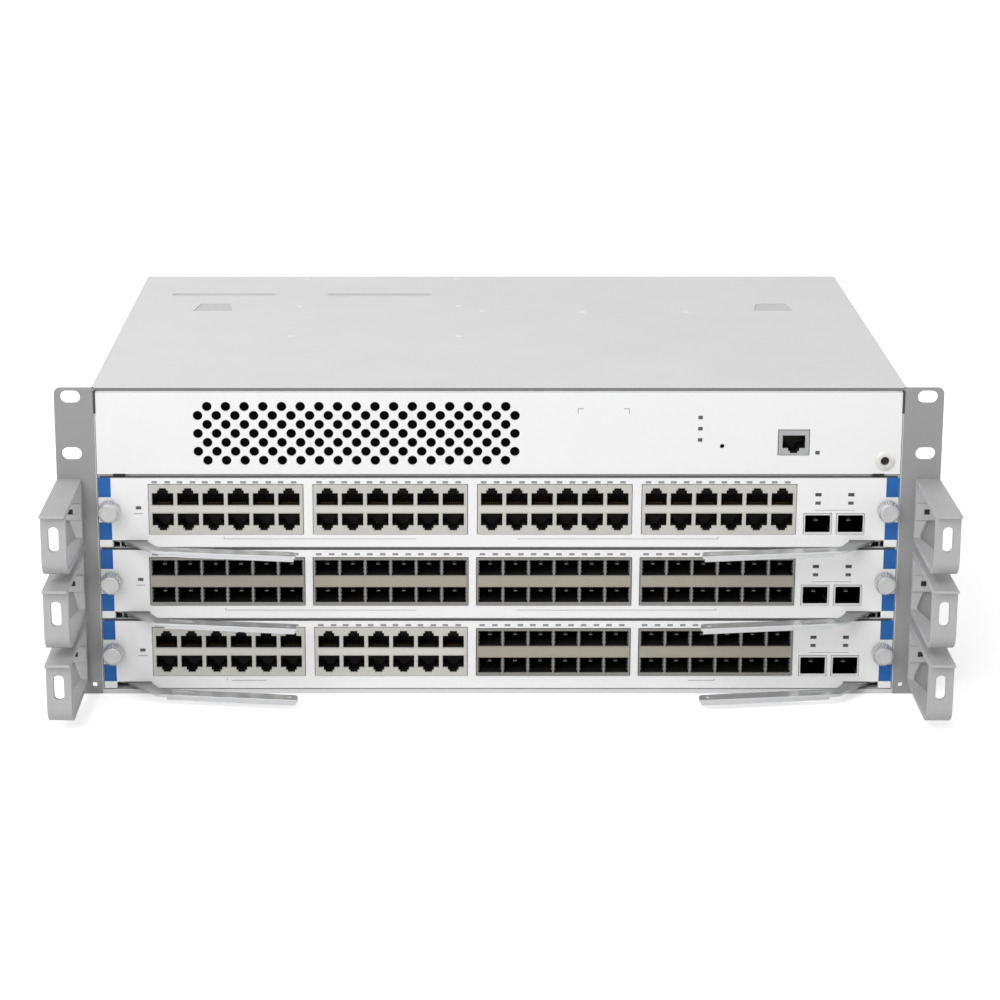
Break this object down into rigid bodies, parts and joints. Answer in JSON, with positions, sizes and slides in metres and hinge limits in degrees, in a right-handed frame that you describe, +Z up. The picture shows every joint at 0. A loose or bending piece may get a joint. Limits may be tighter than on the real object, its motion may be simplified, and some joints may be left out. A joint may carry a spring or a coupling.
{
  "type": "modular chassis switch",
  "caption": "Rack-mounted chassis network switch with stacked slide-in port cards, ejector levers, cable guides and a grilled upper bay.",
  "frame": {"origin": "on the underside, at the middle of the front edge of the casing", "axes": "+X to the right as seen from the front, +Y from the front to the rear, +Z up"},
  "size_m": [0.4826, 0.4108, 0.175],
  "materials": {
    "board": "green solder resist",
    "brass": "plated",
    "cage": "plated sheet with dark wells",
    "casing": "fine satin off-white paint",
    "dark_plastic": "black moulding",
    "ear": "grey satin paint",
    "faceplate": "satin white paint with printed blue fields",
    "guide": "fine-grained grey plastic",
    "knob": "satin, knurled",
    "latch": "green moulding",
    "lever": "satin metal",
    "light": "clear light pipe",
    "port": "warm grey moulding with dark wells",
    "steel": "plated sheet"
  },
  "bodies": {
    "chassis": {"chassis_base": "casing", "top_cover": "casing", "bay_divider": "steel", "card_rails": "steel", "backplane": "board", "power_board": "board", "front_panel": "casing", "status_lights": "light", "management_board": "board", "management_jack": "cage", "ground_jack": "brass", "chassis_screws": "steel", "rack_ear_left": "ear", "rack_ear_right": "ear", "fan_frame": "dark_plastic", "cable_guide_left_1": "guide", "cable_guide_left_2": "guide", "cable_guide_left_3": "guide", "cable_guide_right_1": "guide", "cable_guide_right_2": "guide", "cable_guide_right_3": "guide"},
    "card_1": {"card_1_faceplate": "faceplate", "card_1_tray": "steel", "card_1_board": "board", "card_1_uplink_cages": "cage", "card_1_jack_blocks": "port"},
    "card_1_lever_left": {"card_1_lever_left": "lever"},
    "card_1_thumbscrew_left": {"card_1_thumbscrew_left": "knob"},
    "card_1_lever_right": {"card_1_lever_right": "lever"},
    "card_1_thumbscrew_right": {"card_1_thumbscrew_right": "knob"},
    "card_2": {"card_2_faceplate": "faceplate", "card_2_tray": "steel", "card_2_board": "board", "card_2_uplink_cages": "cage", "card_2_cage_blocks": "cage"},
    "card_2_lever_left": {"card_2_lever_left": "lever"},
    "card_2_thumbscrew_left": {"card_2_thumbscrew_left": "knob"},
    "card_2_lever_right": {"card_2_lever_right": "lever"},
    "card_2_thumbscrew_right": {"card_2_thumbscrew_right": "knob"},
    "card_3": {"card_3_faceplate": "faceplate", "card_3_tray": "steel", "card_3_board": "board", "card_3_uplink_cages": "cage", "card_3_jack_blocks": "port", "card_3_cage_blocks": "cage"},
    "card_3_lever_left": {"card_3_lever_left": "lever"},
    "card_3_thumbscrew_left": {"card_3_thumbscrew_left": "knob"},
    "card_3_lever_right": {"card_3_lever_right": "lever"},
    "card_3_thumbscrew_right": {"card_3_thumbscrew_right": "knob"},
    "reset_button": {"reset_button": "dark_plastic"},
    "supply_1": {"supply_1_case": "steel", "supply_1_inlet": "dark_plastic"},
    "supply_1_latch": {"supply_1_latch": "latch"},
    "supply_2": {"supply_2_case": "steel", "supply_2_inlet": "dark_plastic"},
    "supply_2_latch": {"supply_2_latch": "latch"},
    "fan_rotor_1": {"fan_rotor_1": "dark_plastic"},
    "fan_rotor_2": {"fan_rotor_2": "dark_plastic"}
  },
  "joints": [
    {"name": "card_1_slide", "type": "slide", "parent": "chassis", "child": "card_1", "axis": [0, -1, 0], "range_m": [0, 0.24]},
    {"name": "card_1_lever_left_hinge", "type": "hinge", "parent": "card_1", "child": "card_1_lever_left", "pos_m": [-0.203, 0.008, 0.08805], "axis": [0, 0, -1], "range_deg": [0, 50]},
    {"name": "card_1_thumbscrew_left_turn", "type": "hinge", "parent": "card_1", "child": "card_1_thumbscrew_left", "pos_m": [-0.213, 0, 0.1068], "axis": [0, 1, 0], "continuous": true},
    {"name": "card_1_lever_right_hinge", "type": "hinge", "parent": "card_1", "child": "card_1_lever_right", "pos_m": [0.203, 0.008, 0.08805], "axis": [0, 0, 1], "range_deg": [0, 50]},
    {"name": "card_1_thumbscrew_right_turn", "type": "hinge", "parent": "card_1", "child": "card_1_thumbscrew_right", "pos_m": [0.213, 0, 0.1068], "axis": [0, 1, 0], "continuous": true},
    {"name": "card_2_slide", "type": "slide", "parent": "chassis", "child": "card_2", "axis": [0, -1, 0], "range_m": [0, 0.24]},
    {"name": "card_2_lever_left_hinge", "type": "hinge", "parent": "card_2", "child": "card_2_lever_left", "pos_m": [-0.203, 0.008, 0.04705], "axis": [0, 0, -1], "range_deg": [0, 50]},
    {"name": "card_2_thumbscrew_left_turn", "type": "hinge", "parent": "card_2", "child": "card_2_thumbscrew_left", "pos_m": [-0.213, 0, 0.0658], "axis": [0, 1, 0], "continuous": true},
    {"name": "card_2_lever_right_hinge", "type": "hinge", "parent": "card_2", "child": "card_2_lever_right", "pos_m": [0.203, 0.008, 0.04705], "axis": [0, 0, 1], "range_deg": [0, 50]},
    {"name": "card_2_thumbscrew_right_turn", "type": "hinge", "parent": "card_2", "child": "card_2_thumbscrew_right", "pos_m": [0.213, 0, 0.0658], "axis": [0, 1, 0], "continuous": true},
    {"name": "card_3_slide", "type": "slide", "parent": "chassis", "child": "card_3", "axis": [0, -1, 0], "range_m": [0, 0.24]},
    {"name": "card_3_lever_left_hinge", "type": "hinge", "parent": "card_3", "child": "card_3_lever_left", "pos_m": [-0.203, 0.008, 0.00605], "axis": [0, 0, -1], "range_deg": [0, 50]},
    {"name": "card_3_thumbscrew_left_turn", "type": "hinge", "parent": "card_3", "child": "card_3_thumbscrew_left", "pos_m": [-0.213, 0, 0.0248], "axis": [0, 1, 0], "continuous": true},
    {"name": "card_3_lever_right_hinge", "type": "hinge", "parent": "card_3", "child": "card_3_lever_right", "pos_m": [0.203, 0.008, 0.00605], "axis": [0, 0, 1], "range_deg": [0, 50]},
    {"name": "card_3_thumbscrew_right_turn", "type": "hinge", "parent": "card_3", "child": "card_3_thumbscrew_right", "pos_m": [0.213, 0, 0.0248], "axis": [0, 1, 0], "continuous": true},
    {"name": "reset_press", "type": "slide", "parent": "chassis", "child": "reset_button", "axis": [0, 1, 0], "range_m": [0, 0.0008], "stiffness_N_per_m": 300, "springref_m": -0.0005},
    {"name": "supply_1_slide", "type": "slide", "parent": "chassis", "child": "supply_1", "axis": [0, 1, 0], "range_m": [0, 0.18]},
    {"name": "supply_1_latch_press", "type": "slide", "parent": "supply_1", "child": "supply_1_latch", "axis": [-1, 0, 0], "range_m": [0, 0.003], "stiffness_N_per_m": 300, "springref_m": -0.001},
    {"name": "supply_2_slide", "type": "slide", "parent": "chassis", "child": "supply_2", "axis": [0, 1, 0], "range_m": [0, 0.18]},
    {"name": "supply_2_latch_press", "type": "slide", "parent": "supply_2", "child": "supply_2_latch", "axis": [-1, 0, 0], "range_m": [0, 0.003], "stiffness_N_per_m": 300, "springref_m": -0.001},
    {"name": "fan_rotor_1_spin", "type": "hinge", "parent": "chassis", "child": "fan_rotor_1", "pos_m": [-0.075, 0.291, 0.0647], "axis": [0, 1, 0], "continuous": true},
    {"name": "fan_rotor_2_spin", "type": "hinge", "parent": "chassis", "child": "fan_rotor_2", "pos_m": [0.075, 0.291, 0.0647], "axis": [0, 1, 0], "continuous": true}
  ]
}
